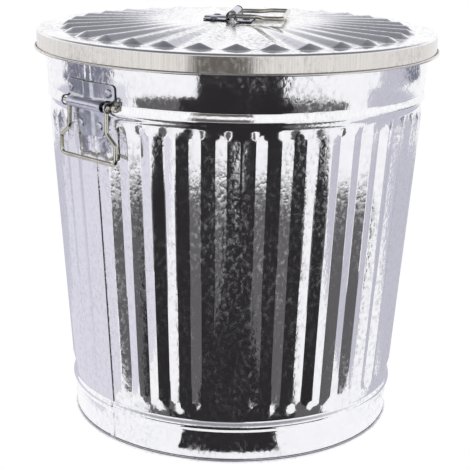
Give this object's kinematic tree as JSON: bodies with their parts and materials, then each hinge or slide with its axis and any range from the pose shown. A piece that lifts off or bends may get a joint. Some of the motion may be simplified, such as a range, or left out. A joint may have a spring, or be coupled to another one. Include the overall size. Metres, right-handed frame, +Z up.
{
  "type": "oily waste can",
  "caption": "Round tapered ribbed steel waste can with a loose pleated lid, drop handles on both sides and a drop handle on the lid.",
  "frame": {"origin": "centre of the foot ring, on the ground", "axes": "+Z up the can's axis; the side handles are at -X and +X; the lock seam is under the one at -X"},
  "size_m": [0.42, 0.42, 0.4351],
  "materials": {
    "can_sheet": "bright hot-dip galvanised sheet with a fine spangle, bare inside and out",
    "base_sheet": "galvanised sheet, a little duller than the wall",
    "lid_sheet": "bright galvanised sheet with a spangle, pressed in pleats",
    "bracket_plate": "zinc plated pressed strap, satin",
    "wire": "bright zinc plated wire with a slight yellow tint",
    "rivet": "zinc plated domed rivet"
  },
  "bodies": {
    "can": {"can_wall": "can_sheet", "base_pan": "base_sheet", "rim_wire": "wire", "left_handle_bracket": "bracket_plate", "right_handle_bracket": "bracket_plate", "left_handle_rivet_1": "rivet", "left_handle_rivet_2": "rivet", "left_handle_rivet_3": "rivet", "left_handle_rivet_4": "rivet", "right_handle_rivet_1": "rivet", "right_handle_rivet_2": "rivet", "right_handle_rivet_3": "rivet", "right_handle_rivet_4": "rivet"},
    "left_bail": {"left_handle_bail": "wire"},
    "right_bail": {"right_handle_bail": "wire"},
    "lid": {"lid_shell": "lid_sheet", "lid_handle_bracket": "bracket_plate", "lid_rivet_1": "rivet", "lid_rivet_2": "rivet", "lid_rivet_3": "rivet", "lid_rivet_4": "rivet"},
    "lid_bail": {"lid_bail": "wire"}
  },
  "joints": [
    {"name": "lid_lift", "type": "slide", "parent": "can", "child": "lid", "axis": [0, 0, 1], "range_m": [0, 0.3]},
    {"name": "left_bail_swing", "type": "hinge", "parent": "can", "child": "left_bail", "pos_m": [-0.199, 0, 0.357], "axis": [0, 1, 0], "range_deg": [-3, 160]},
    {"name": "right_bail_swing", "type": "hinge", "parent": "can", "child": "right_bail", "pos_m": [0.199, 0, 0.357], "axis": [0, -1, 0], "range_deg": [-3, 160]},
    {"name": "lid_bail_swing", "type": "hinge", "parent": "lid", "child": "lid_bail", "pos_m": [-0.00187, 0.00235, 0.4299], "axis": [-0.7826, -0.6225, 0], "range_deg": [0, 180]}
  ]
}
